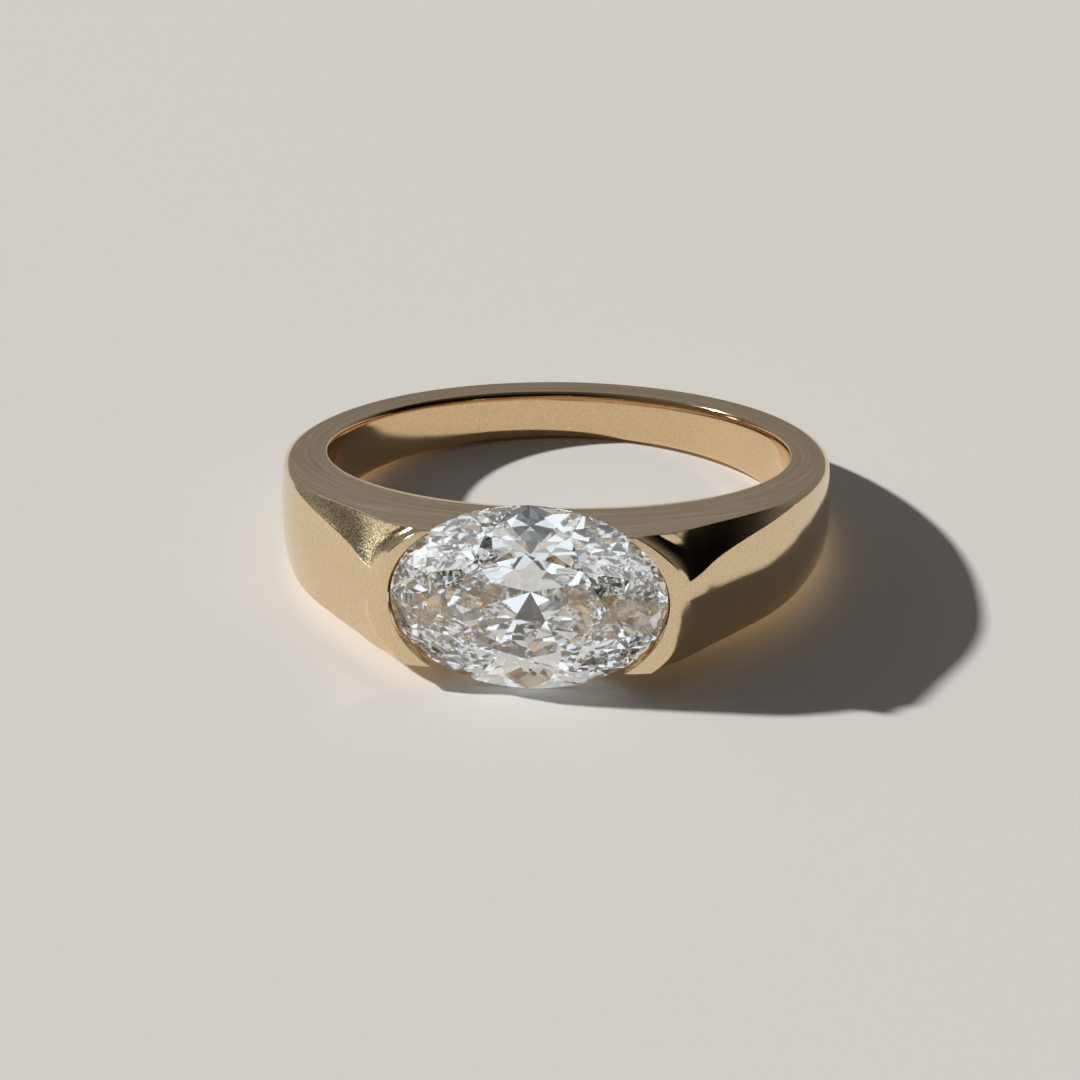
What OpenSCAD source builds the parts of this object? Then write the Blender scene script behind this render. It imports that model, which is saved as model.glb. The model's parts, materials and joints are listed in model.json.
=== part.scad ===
// East west ring: a tapered gold band whose head holds an oval stone lengthwise round
// the finger, between two half bezels. It lies on its side, as it rests by itself on a
// table, on the back of the band and on the lower edge of the stone.
//
// Every form is worked out in the ring's own frame and laid down at the end. There x
// points right, y points to the back of the band and w runs along the finger's axis.
// Angles are degrees round the finger from the middle of the head, alike on both sides.

/* [Finger hole] */
// Radius of the finger hole
bore_r = 8.5; // [7.5:0.05:10]
// Width and depth of the eased edge round each mouth of the hole
bore_ease = 0.12; // [0.05:0.01:0.2]

/* [Band] */
// Width along the finger in front of the hole
band_w_front = 4.14; // [3.9:0.02:4.6]
// Width along the finger beside the hole
band_w_side = 2.78; // [2.4:0.02:3.2]
// Width along the finger behind the hole
band_w_back = 1.86; // [1.6:0.02:2.2]
// Thickness of the band's wall where it is thinnest
shank_wall = 1.5; // [1.2:0.05:2]
// Height of the outer face above the hole beside the stone
head_wall = 4.85; // [4.7:0.05:5.2]
// Drop from the middle of the outer face to the edge of a side face
edge_drop = 0.4; // [0.3:0.02:0.5]
// Width of the rounding between a side face and the outer face
edge_round = 0.22; // [0.15:0.01:0.4]
// Radius of the outer face's crown across the band
crown_r = 9; // [6:0.5:20]
// Depth of each shoulder's scoop under the straight line between its edges
scoop_depth = 0.02; // [0.01:0.01:0.1]
// Slope across the lower half of each shoulder, in degrees
under_slope = 9.5; // [6:0.5:11]

/* [Half bezels] */
// Width of a bezel's rim at the end of the stone
bezel_rim = 0.72; // [0.5:0.02:0.9]
// Width by which the rim's outer oval passes the stone's long side
bezel_side = 0.01; // [0.01:0.01:0.2]
// Width of a bezel's rim at the end of the stone, on its lower half
under_rim = 0.98; // [0.8:0.02:1.1]
// Width by which the lower half's oval passes the stone's long side
under_side = 0.4; // [0.2:0.02:0.5]
// Radius of the rims across the band
rim_crown_r = 22; // [10:1:40]
// Lean of the outer wall, from the rim out to the foot
bezel_draft = 0.12; // [0.05:0.01:0.2]
// Lean of the inner wall, from the ledge out to the rim
bezel_flare = 0.05; // [0.04:0.01:0.15]

/* [Stone] */
// Length of the stone round the finger
stone_l = 9.52; // [9:0.02:9.8]
// Width of the stone along the finger
stone_w = 6.62; // [6:0.02:7]
// Height of the crown above the girdle
crown_h = 0.85; // [0.6:0.05:1.2]
// Thickness of the girdle at the corners of its facets
girdle_t = 0.2; // [0.16:0.02:0.3]
// Depth of the pavilion below the girdle
pavilion_h = 2.8; // [2.4:0.05:3]
// Height of the girdle's middle above the wall of the hole
girdle_rise = 3.6; // [3.4:0.05:3.9]
// Clearance between the stone and the metal
stone_gap = 0.04; // [0.03:0.01:0.1]
// Depth by which the seat clears the culet, besides that clearance
culet_gap = 0.1; // [0.05:0.01:0.2]
// Hollowing of the seat between the ledge and the culet, as a share of its depth
seat_relief_share = 0.3; // [0.2:0.01:0.35]

/* [Hidden] */

// Band sections by angle, as shares. wall goes from shank_wall to head_wall, drop is of
// edge_drop, ridge is the half width of the outer face beside the scoops as a share of the
// band's, and scoop is of scoop_depth and takes the edge's rounding away. Ridge and scoop
// shape the upper edge alone.
ANGLE = 0;
WALL = 1;
DROP = 2;
RIDGE = 3;
SCOOP = 4;
sections = [
    // angle, wall, drop, ridge, scoop
    [12, 0.92, 1.10, 0.20, 1.00],
    [21, 1.00, 1.35, 0.20, 1.00],
    [25.5, 0.90, 1.60, 0.30, 1.00],
    [31, 0.735, 1.50, 0.52, 1.00],
    [38, 0.582, 1.28, 0.68, 1.00],
    [46, 0.463, 1.10, 0.82, 1.00],
    [53, 0.358, 1.00, 0.91, 0.50],
    [60, 0.252, 1.00, 1.00, 0.00],
    [70, 0.136, 1.00, 1.00, 0.00],
    [80, 0.066, 0.98, 1.00, 0.00],
    [92, 0.020, 0.95, 1.00, 0.00],
    [110, 0.000, 0.92, 1.00, 0.00],
    [145, 0.060, 0.88, 1.00, 0.00],
    [180, 0.090, 0.85, 1.00, 0.00]
];

// Slope of one column of the table at row i, and its smooth value at any angle
function slope_at(column, i) =
    let (lo = max(i - 1, 0), hi = min(i + 1, len(sections) - 1))
    (sections[hi][column] - sections[lo][column]) / (sections[hi][ANGLE] - sections[lo][ANGLE]);
function row_below(angle, i = 0) =
    i < len(sections) - 2 && sections[i + 1][ANGLE] <= angle ? row_below(angle, i + 1) : i;
function share(column, angle) =
    let (
        a = max(abs(angle), sections[0][ANGLE]),
        i = row_below(a),
        p = sections[i],
        q = sections[i + 1],
        span = q[ANGLE] - p[ANGLE],
        t = (a - p[ANGLE]) / span
    )
    p[column] * (2 * pow(t, 3) - 3 * pow(t, 2) + 1)
    + q[column] * (3 * pow(t, 2) - 2 * pow(t, 3))
    + slope_at(column, i) * span * (pow(t, 3) - 2 * pow(t, 2) + t)
    + slope_at(column, i + 1) * span * (pow(t, 3) - pow(t, 2));

// Half width of the band at a place y, a parabola through its three named widths
function half_w(y) =
    let (t = y / bore_r, front = band_w_front / 2, side = band_w_side / 2, back = band_w_back / 2)
    side + (back - front) / 2 * t + ((back + front) / 2 - side) * t * t;

// Radius of the outer face's middle, of a side face's edge and of the crowned outer face
function mid_r(angle) = bore_r + shank_wall + share(WALL, angle) * (head_wall - shank_wall);
function side_r(angle) = mid_r(angle) - edge_drop * share(DROP, angle);
function outer_r(angle, w) = mid_r(angle) - w * w / (2 * crown_r);
function half_at(angle) = half_w(-side_r(angle) * cos(angle));

// Below the middle, where lift is -1, the shoulder is a straight slope that gives way to the
// crown between two angles
under_start_angle = 27;
under_end_angle = 62;
function blend(from, to, t) = from + (to - from) * t;
function slope_part(angle) =
    let (
        t = (under_end_angle - angle) / (under_end_angle - under_start_angle),
        u = max(0, min(1, t))
    )
    u * u * (3 - 2 * u);
function slope_r(angle, w, lift) = lift > 0
    ? outer_r(angle, w)
    : blend(outer_r(angle, w), mid_r(angle) - w * tan(under_slope), slope_part(angle));

// Rows from a side face's edge to the middle: the edge or scoop first, then the crown
EDGE_ROWS = 6;
CROWN_ROWS = 5;
HALF_ROWS = EDGE_ROWS + CROWN_ROWS;

// The edge or scoop ends on the crown at this share of the half width
function scoop_at(angle, lift) = lift > 0 ? share(SCOOP, angle) : 0;
function ridge(angle, lift) =
    min(
        lift > 0 ? share(RIDGE, angle) : 1,
        1 - edge_round * (1 - scoop_at(angle, lift)) / half_at(angle)
    );
function row_run(row) = 1 - cos(90 * row / EDGE_ROWS);
function row_w(angle, row, lift) =
    half_at(angle) * (row <= EDGE_ROWS
        ? 1 - (1 - ridge(angle, lift)) * row_run(row)
        : ridge(angle, lift) * (HALF_ROWS - row) / CROWN_ROWS);

// Radius of the band's surface: rounded or scooped up to the crown, then the crown
function floor_r(angle, row, lift) =
    row > EDGE_ROWS
        ? slope_r(angle, row_w(angle, row, lift), lift)
        : let (
            run = row_run(row),
            scoop = scoop_at(angle, lift),
            rise = slope_r(angle, row_w(angle, EDGE_ROWS, lift), lift) - side_r(angle)
        )
        side_r(angle)
        + rise * ((1 - scoop) * sin(90 * row / EDGE_ROWS) + scoop * run)
        - scoop_depth * scoop * 4 * run * (1 - run);

// Ovals round the stone as [long, short], and the x of one at a height w
function oval_x(oval, w) = oval[0] * sqrt(1 - pow(w / oval[1], 2));
stone_oval = [stone_l / 2, stone_w / 2];
ledge_oval = stone_oval + [stone_gap, stone_gap];
inner_oval = ledge_oval + [bezel_flare, bezel_flare];
function rim_oval(lift) =
    stone_oval + (lift > 0 ? [bezel_rim, bezel_side] : [under_rim, under_side]);
function foot_oval(lift) = rim_oval(lift) + [bezel_draft, bezel_draft];

// Angle at which a row of a rim or of the floor meets an oval, by repeated approach
function rim_r(angle, w) = mid_r(angle) - w * w / (2 * rim_crown_r);
function rim_angle(oval, row, lift, angle = 20, steps = 6) =
    steps == 0 ? angle : let (w = row_w(angle, row, lift))
        rim_angle(oval, row, lift, asin(oval_x(oval, w) / rim_r(angle, w)), steps - 1);
function foot_angle(row, lift, angle = 22, steps = 6) =
    steps == 0 ? angle : let (x = oval_x(foot_oval(lift), row_w(angle, row, lift)))
        foot_angle(row, lift, asin(x / floor_r(angle, row, lift)), steps - 1);

// Places in the ring's frame
function on_ring(angle, r, w) = [r * sin(angle), -r * cos(angle), w];
function on_rim(angle, row, lift) =
    let (w = row_w(angle, row, lift)) on_ring(angle, rim_r(angle, w), w);
function on_floor(angle, row, lift) =
    on_ring(angle, floor_r(angle, row, lift), row_w(angle, row, lift));

// The seat under the stone: a hollowed cone that clears the pavilion, out to the ledge
girdle_r = bore_r + girdle_rise;
ledge_r = girdle_r - girdle_t / 2 - stone_gap;
SEAT_STEPS = 6;
function seat_y(x, w) =
    let (t = norm([x / ledge_oval[0], w / ledge_oval[1]]))
    -ledge_r + (pavilion_h + culet_gap) * (1 - t) * (1 + seat_relief_share * t);
function on_seat(row, step, lift) =
    let (
        ledge_w = row_w(0, row, lift) * half_w(-ledge_r) / half_at(0),
        x = oval_x(ledge_oval, ledge_w) * step / SEAT_STEPS,
        y = seat_y(x, ledge_w)
    )
    [x, y, ledge_w * half_w(y) / half_w(-ledge_r)];

// Columns from the middle of the head to the back: seat, rim inside, rim outside, foot,
// shoulder as far as shoulder_end_angle, then the shank
RIM_INSIDE = SEAT_STEPS + 1;
RIM_OUTSIDE = RIM_INSIDE + 1;
FOOT = RIM_OUTSIDE + 1;
SHOULDER_STEPS = 11;
SHANK_STEPS = 16;
SHOULDER_END = FOOT + SHOULDER_STEPS;
LAST = SHOULDER_END + SHANK_STEPS;
shoulder_end_angle = 58;
function shoulder_angle(from, column) =
    blend(from, shoulder_end_angle, (column - FOOT) / SHOULDER_STEPS);
function shank_angle(column) =
    blend(shoulder_end_angle, 180, (column - SHOULDER_END) / SHANK_STEPS);
function surface_point(column, row, lift) =
    column <= SEAT_STEPS ? on_seat(row, column, lift)
    : column == RIM_INSIDE ? on_rim(rim_angle(inner_oval, row, lift), row, lift)
    : column == RIM_OUTSIDE ? on_rim(rim_angle(rim_oval(lift), row, lift), row, lift)
    : column <= SHOULDER_END
        ? on_floor(shoulder_angle(foot_angle(row, lift), column), row, lift)
    : on_floor(shank_angle(column), row, lift);

// Angle of a column's edge at the hole. It runs ahead of the head's own angles, so that
// the side face's strips never cross.
ledge_hole_angle = 21.5;
foot_hole_angle = 25;
function hole_angle(column) =
    column <= SEAT_STEPS ? blend(0, ledge_hole_angle, column / SEAT_STEPS)
    : column <= FOOT
        ? blend(ledge_hole_angle, foot_hole_angle, (column - SEAT_STEPS) / (FOOT - SEAT_STEPS))
    : column <= SHOULDER_END ? shoulder_angle(foot_hole_angle, column)
    : shank_angle(column);

// Edge of the eased mouth, and a point inside the hole that the bore cuts away
hole_overcut = 0.5;
function mouth_point(column, cut) =
    let (angle = hole_angle(column), r = bore_r + (cut ? -hole_overcut : bore_ease))
    on_ring(angle, r, half_w(-bore_r * cos(angle)) - (cut ? hole_overcut + bore_ease : 0));

// A closed section: up the outer surface from the lower side face, then back down the hole
function mirrored(p, side, lift) = [side * p[0], p[1], lift * p[2]];
function section(column, side) = concat(
    [mirrored(mouth_point(column, true), side, -1), mirrored(mouth_point(column, false), side, -1)],
    [for (row = [0 : HALF_ROWS - 1]) mirrored(surface_point(column, row, -1), side, -1)],
    [for (row = [HALF_ROWS : -1 : 0]) mirrored(surface_point(column, row, 1), side, 1)],
    [mirrored(mouth_point(column, false), side, 1), mirrored(mouth_point(column, true), side, 1)]
);

// The rest: the lower edge of the girdle and the back's lower edge lie on one level
back_edge = on_ring(180, side_r(180), -half_at(180));
stone_edge = [0, -(girdle_r - girdle_t / 2), -stone_w / 2];
rest_tilt = atan((back_edge[2] - stone_edge[2]) / (back_edge[1] - stone_edge[1]));
function laid_y(p) = p[1] * cos(rest_tilt) + p[2] * sin(rest_tilt);
function laid_z(p) = p[2] * cos(rest_tilt) - p[1] * sin(rest_tilt);
table_share = 0.57;
front_y = laid_y([0, -(girdle_r + girdle_t / 2 + crown_h), -table_share * stone_w / 2]);
back_y = max([for (row = [0 : HALF_ROWS]) laid_y(surface_point(LAST, row, 1))]);
rest_offset = [0, -(front_y + back_y) / 2, -laid_z(stone_edge)];
module at_rest() {
    translate(rest_offset) rotate([-rest_tilt, 0, 0]) children();
}

// The metal is one cast piece: band, shoulders with their two scoops, and both half bezels
module band() {
    loop = concat(
        [for (column = [0 : LAST]) section(column, 1)],
        [for (column = [LAST - 1 : -1 : 1]) section(column, -1)]
    );
    around = len(loop);
    across = len(loop[0]);
    points = [for (each_section = loop) for (p = each_section) p];
    faces = [
        for (i = [0 : around - 1]) for (j = [0 : across - 1])
            let (
                i2 = (i + 1) % around,
                j2 = (j + 1) % across,
                a = i * across + j,
                b = i2 * across + j,
                c = i2 * across + j2,
                d = i * across + j2
            )
            for (triangle = [[a, c, b], [a, d, c]]) triangle
    ];
    color([0.82, 0.69, 0.47])
    at_rest()
    difference() {
        polyhedron(points = points, faces = faces, convexity = 6);
        cylinder(h = 4 * band_w_front, r = bore_r, center = true, $fn = 180);
    }
}

// Corners of the cut, on a circle of radius 1, as shares out and heights above the girdle
star_share = 0.8;
lower_share = 0.24;
MAINS = 8;
ARC_STEPS = 4;
turn = 360 / MAINS;
function on_main(share) = share * cos(turn / 2);
star_h = crown_h * (1 - on_main(star_share)) / (1 - table_share);
lower_h = pavilion_h * (1 - on_main(lower_share));
function corner(share, angle, h) = [share * cos(angle), share * sin(angle), h];

// Height of the plane through three corners above the point q of the girdle's circle
function plane_h(a, b, c, q) =
    let (n = cross(b - a, c - a))
    a[2] - (n[0] * (q[0] - a[0]) + n[1] * (q[1] - a[1])) / n[2];

// One girdle edge point: i counts round the girdle, and side is 1 for the crown
function girdle_point(i, side) =
    let (
        angle = i * turn / (2 * ARC_STEPS),
        main = round(angle / turn) * turn,
        half = (floor(angle / turn) + 0.5) * turn,
        rim = side * girdle_t / 2,
        inner = side > 0
            ? corner(star_share, half, rim + star_h)
            : corner(lower_share, half, rim - lower_h),
        q = corner(1, angle, rim),
        corner_here = i % ARC_STEPS == 0
    )
    [q[0], q[1], corner_here ? rim : plane_h(inner, corner(1, main, rim), corner(1, half, rim), q)];

// The oval brilliant: table, stars, kites and halves above, halves and mains below
module oval_stone() {
    girdle_n = 2 * MAINS * ARC_STEPS;
    half_step = girdle_n / MAINS / 2;
    table_top = girdle_t / 2 + crown_h;
    corners = concat(
        [for (i = [0 : girdle_n - 1]) girdle_point(i, 1)],
        [for (i = [0 : girdle_n - 1]) girdle_point(i, -1)],
        [for (k = [0 : MAINS - 1]) corner(table_share, k * turn, table_top)],
        [for (k = [0 : MAINS - 1]) corner(star_share, (k + 0.5) * turn, girdle_t / 2 + star_h)],
        [for (k = [0 : MAINS - 1]) corner(lower_share, (k + 0.5) * turn, -girdle_t / 2 - lower_h)],
        [[0, 0, -girdle_t / 2 - pavilion_h]]
    );
    low = girdle_n;
    tables = 2 * girdle_n;
    stars = tables + MAINS;
    lowers = stars + MAINS;
    culet = lowers + MAINS;
    function fan(tip, start, base) = [
        for (i = [0 : half_step - 1]) [tip, base + start + i, base + (start + i + 1) % girdle_n]
    ];
    function flip(faces) = [for (f = faces) [f[0], f[2], f[1]]];
    crown_faces = [
        for (k = [0 : MAINS - 1])
            let (
                next = (k + 1) % MAINS,
                before = (k + MAINS - 1) % MAINS,
                main = 2 * k * half_step
            )
            for (f = flip(concat(
                [[tables + k, stars + k, tables + next]],
                [[tables + k, stars + before, main], [tables + k, main, stars + k]],
                fan(stars + k, main, 0),
                fan(stars + k, main + half_step, 0)
            ))) f
    ];
    pavilion_faces = [
        for (k = [0 : MAINS - 1])
            let (before = (k + MAINS - 1) % MAINS, main = 2 * k * half_step)
            for (f = concat(
                [[culet, lowers + before, low + main], [culet, low + main, lowers + k]],
                fan(lowers + k, main, low),
                fan(lowers + k, main + half_step, low)
            )) f
    ];
    girdle_faces = [
        for (i = [0 : girdle_n - 1])
            let (next = (i + 1) % girdle_n)
            for (f = [[i, low + next, low + i], [i, next, low + next]]) f
    ];
    table_face = [[for (k = [MAINS - 1 : -1 : 0]) tables + k]];
    placed = [
        for (p = corners) [p[0] * stone_l / 2, -girdle_r - p[2], p[1] * stone_w / 2]
    ];
    color([0.90, 0.92, 0.94])
    at_rest()
    polyhedron(
        points = placed,
        faces = concat(table_face, crown_faces, pavilion_faces, girdle_faces),
        convexity = 3
    );
}

band();
oval_stone();
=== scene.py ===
"""East west ring: a tapered band of polished yellow gold whose two half bezels hold an oval
brilliant lengthwise round the finger. It lies on its side on a pale floor.

Lengths are in metres. The ring's own frame has x to the right, y to the back of the band and
w along the finger's axis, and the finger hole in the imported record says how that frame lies
on the floor. Angles are degrees round the finger from the middle of the head.
"""

import json

import bpy
import numpy as np
from bpy.props import FloatProperty, FloatVectorProperty, PointerProperty
from mathutils import Matrix, Vector


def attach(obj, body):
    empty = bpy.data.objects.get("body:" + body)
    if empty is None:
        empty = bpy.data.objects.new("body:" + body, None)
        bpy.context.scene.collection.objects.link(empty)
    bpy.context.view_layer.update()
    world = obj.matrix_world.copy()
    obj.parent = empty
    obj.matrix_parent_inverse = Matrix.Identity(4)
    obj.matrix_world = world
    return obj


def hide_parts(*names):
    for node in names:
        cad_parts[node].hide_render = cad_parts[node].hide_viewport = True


bl_info = {
    "name": "East west ring",
    "version": (1, 0, 0),
    "blender": (4, 5, 0),
    "location": "3D View > Sidebar > Ring",
    "description": "Builds a gold ring with an oval brilliant held lengthwise round the finger",
    "category": "Add Mesh",
}

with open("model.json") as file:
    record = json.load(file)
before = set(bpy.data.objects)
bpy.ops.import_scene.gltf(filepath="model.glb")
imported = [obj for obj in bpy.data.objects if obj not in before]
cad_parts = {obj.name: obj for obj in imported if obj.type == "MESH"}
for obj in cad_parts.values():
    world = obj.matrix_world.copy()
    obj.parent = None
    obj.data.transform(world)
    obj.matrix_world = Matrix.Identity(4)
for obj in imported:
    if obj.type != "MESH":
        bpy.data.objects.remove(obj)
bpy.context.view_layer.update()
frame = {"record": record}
HOLE = frame["record"]["mounts"][0]

MM = 0.001


def length(name, description, default):
    """A length property with five decimals."""
    return FloatProperty(
        name=name, description=description, default=default, min=0, precision=5, unit="LENGTH"
    )


def tint(name, description, default):
    """A colour property in linear light."""
    return FloatVectorProperty(
        name=name, description=description, default=default, subtype="COLOR", size=3, min=0, max=1
    )


class RingBandSizes(bpy.types.PropertyGroup):
    """Sizes of the gold band, its scoops and its half bezels."""

    bore_r: length("Hole radius", "Radius of the finger hole", HOLE["dims"]["r_mm"] * MM)
    bore_ease: length("Mouth rounding", "Rounding of each mouth, across its wall", 0.12 * MM)
    bore_ease_w: length("Mouth depth", "Rounding of each mouth, into the hole", 0.4 * MM)
    front_w: length("Width in front", "Width along the finger in front of the hole", 4.14 * MM)
    side_w: length("Width beside", "Width along the finger beside the hole", 2.78 * MM)
    back_w: length("Width behind", "Width along the finger behind the hole", 1.86 * MM)
    shank_wall: length("Thinnest wall", "Wall of the band where it is thinnest", 1.5 * MM)
    head_wall: length("Head wall", "Height of the outer face beside the stone", 4.85 * MM)
    edge_drop: length("Edge drop", "From the outer face's middle to its edge", 0.4 * MM)
    edge_round: length("Edge rounding", "Width of the outer face's rounding", 0.22 * MM)
    crown_r: length("Crown radius", "Radius of the outer face across the band", 9 * MM)
    rim_crown_r: length("Rim radius", "Radius of the bezels' rims across the band", 22 * MM)
    scoop_depth: length("Scoop depth", "Depth under the line between its edges", 0.02 * MM)
    rim: length("Bezel rim", "Width of a bezel's rim at the end of the stone", 0.72 * MM)
    under_rim: length("Lower rim", "Width of a rim on its lower half", 0.98 * MM)
    rim_side: length("Rim past the side", "How far the rim's oval passes the stone", 0.01 * MM)
    under_side: length("Lower rim past the side", "The same on its lower half", 0.4 * MM)
    draft: length("Bezel lean", "Lean of the bezel's outer wall", 0.12 * MM)
    flare: length("Bezel flare", "Lean of the bezel's inner wall", 0.05 * MM)
    stone_l: length("Stone length", "Length of the stone round the finger", 9.52 * MM)
    stone_w: length("Stone width", "Width of the stone along the finger", 6.62 * MM)
    girdle_t: length("Girdle thickness", "Thickness of the stone's girdle", 0.2 * MM)
    girdle_rise: length("Girdle rise", "Girdle's height above the hole", 3.6 * MM)
    crown_h: length("Crown height", "Height of the stone above its girdle", 0.85 * MM)
    pavilion_h: length("Pavilion depth", "Depth of the stone below its girdle", 2.8 * MM)
    gap: length("Stone clearance", "Clearance between the stone and the metal", 0.04 * MM)
    culet_gap: length("Culet clearance", "Further depth of the seat under the culet", 0.1 * MM)
    foot_fillet: length("Foot fillet", "Reach of the fillet at the bezels' feet", 0.55 * MM)
    crisp: length("Crease rounding", "Reach of the rounding on polished creases", 0.045 * MM)
    under_slope: FloatProperty(
        name="Lower slope",
        description="Slope of the shoulders' plain lower half",
        default=np.radians(9.5),
        subtype="ANGLE",
    )


class RingLooks(bpy.types.PropertyGroup):
    """Colours of the metal, the stone and the floor, the gold's roughness and the strength
    of the light."""

    gold: tint("Gold", "Colour of the polished gold", (0.86, 0.665, 0.425))
    # Painted shade: a deeper, darker gold painted inside the hole for the shade and the gold's
    # reflections of itself there
    shaded_hole_gold: tint("Deep gold", "Colour of the gold inside the hole", (0.82, 0.595, 0.345))
    stone: tint("Stone", "Colour of the stone", (0.965, 0.985, 1.0))
    floor: tint("Floor", "Colour of the floor", (0.835, 0.83, 0.81))
    polish: FloatProperty(
        name="Polish", description="Roughness of the gold", default=0.09, min=0, max=1
    )
    sun: FloatProperty(name="Lamp", description="Strength of the lamp", default=3.75, min=0)
    room: FloatProperty(name="Room", description="Strength of the room's light", default=1, min=0)


# Band sections by angle, as shares of the named sizes: wall goes from shank_wall to
# head_wall, drop is of edge_drop, ridge is the half width of the outer face beside the scoops
# as a share of the band's, and scoop goes from a plain rounded edge to a scoop.
SECTIONS = np.array(
    [
        # angle, wall, drop, ridge, scoop
        [12, 0.92, 1.10, 0.20, 1.00],
        [21, 1.00, 1.35, 0.20, 1.00],
        [25.5, 0.90, 1.60, 0.30, 1.00],
        [31, 0.735, 1.50, 0.52, 1.00],
        [38, 0.582, 1.28, 0.68, 1.00],
        [46, 0.463, 1.10, 0.82, 1.00],
        [53, 0.358, 1.00, 0.91, 0.50],
        [60, 0.252, 1.00, 1.00, 0.00],
        [70, 0.136, 1.00, 1.00, 0.00],
        [80, 0.066, 0.98, 1.00, 0.00],
        [92, 0.020, 0.95, 1.00, 0.00],
        [110, 0.000, 0.92, 1.00, 0.00],
        [145, 0.060, 0.88, 1.00, 0.00],
        [180, 0.090, 0.85, 1.00, 0.00],
    ]
)
WALL, DROP, RIDGE, SCOOP = 1, 2, 3, 4


def share(column, angle):
    """A column of SECTIONS at any angle: between two rows, the cubic that meets both values
    and, at each, the slope of the line through that row's neighbours."""
    at, value = SECTIONS[:, 0], SECTIONS[:, column]
    low = np.maximum(np.arange(len(at)) - 1, 0)
    high = np.minimum(np.arange(len(at)) + 1, len(at) - 1)
    slope = (value[high] - value[low]) / (at[high] - at[low])
    a = np.clip(np.abs(angle), at[0], at[-1])
    i = np.clip(np.searchsorted(at, a, side="right") - 1, 0, len(at) - 2)
    span = at[i + 1] - at[i]
    t = (a - at[i]) / span
    return (
        value[i] * (2 * t**3 - 3 * t**2 + 1)
        + value[i + 1] * (3 * t**2 - 2 * t**3)
        + slope[i] * span * (t**3 - 2 * t**2 + t)
        + slope[i + 1] * span * (t**3 - t**2)
    )


def sind(angle):
    """Sine of an angle in degrees."""
    return np.sin(np.radians(angle))


def cosd(angle):
    """Cosine of an angle in degrees."""
    return np.cos(np.radians(angle))


def asind(value):
    """Angle in degrees whose sine is the value, kept between -1 and 1."""
    return np.degrees(np.arcsin(np.clip(value, -1, 1)))


def mix(start, end, t):
    """The value at share t of the way from start to end."""
    return start + (end - start) * t


def smooth(t):
    """A share kept between 0 and 1 that leaves 0 and reaches 1 with no slope."""
    t = np.clip(t, 0, 1)
    return t * t * (3 - 2 * t)


# Rows run from 0 at a side face's edge, over 1 at the end of the edge or scoop, to 2 in the
# middle of the outer face. They lie closer beside the creases.
ROWS = np.array(
    [0, 0.1, 0.18, 0.25, 0.33, 0.4, 0.5, 0.6, 0.7, 0.8, 0.88, 0.94, 0.975, 1]
    + [1.04, 1.12, 1.22, 1.34, 1.46, 1.58, 1.7, 1.82, 1.92, 2]
)
RIDGE_ROW = 13

# Columns run round the finger. These are their places, as shares of the way across the
# bezel's inner wall, its rim and its outer wall, and along the shoulder. They lie closer
# beside the creases.
SEAT_COLUMNS = np.linspace(0, 1, 16)
INNER_WALL_COLUMNS = (0.3, 0.6, 0.85, 0.96)
RIM_COLUMNS = (0, 0.12, 0.35, 0.65, 0.88, 1)
OUTER_WALL_COLUMNS = (0.12, 0.35, 0.65, 0.88)
SHOULDER_COLUMNS = np.concatenate([[0, 0.006, 0.015, 0.03], np.linspace(0.05, 1, 48)])
SHOULDER_END = 58
SHANK_COLUMNS = np.linspace(SHOULDER_END, 180, 80)[1:]

# Angles at the hole of the columns along the ledge and the bezel's foot
LEDGE_HOLE_ANGLE = 23.5
FOOT_HOLE_ANGLE = 27

# Rows up the wall of the hole, over its mouth and across the side face
WALL_ROWS = np.linspace(0, 1, 9)
MOUTH_ROWS = np.linspace(0, 90, 10)[1:]
SIDE_ROWS = np.concatenate([[0.03], np.linspace(0.1, 0.9, 9), [0.97]])

# First guess, in degrees, of where a row meets an oval, and the number of steps from it
OVAL_GUESS = 21.0
OVAL_STEPS = 12

# How much the seat is hollowed, and the height over which the rims' upper oval changes to
# the lower one
SEAT_RELIEF = 0.3
RIM_JOIN = 0.8 * MM

# Angles where the lower shoulder's slope starts to give way to the crown, and where it ends
UNDER_START = 27
UNDER_END = 62

# Lines that the foot's fillet replaces before and after it, and points that it puts there
FILLET_LINES = (4, 6)
FILLET_POINTS = 9
CREASE_POINTS = 5
LONGEST_REACH = 0.8

# A point's marks: how far it lies inside the hole, in a scoop or on the side face
IN_HOLE, IN_SCOOP, ON_SIDE = 0, 1, 2


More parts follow.
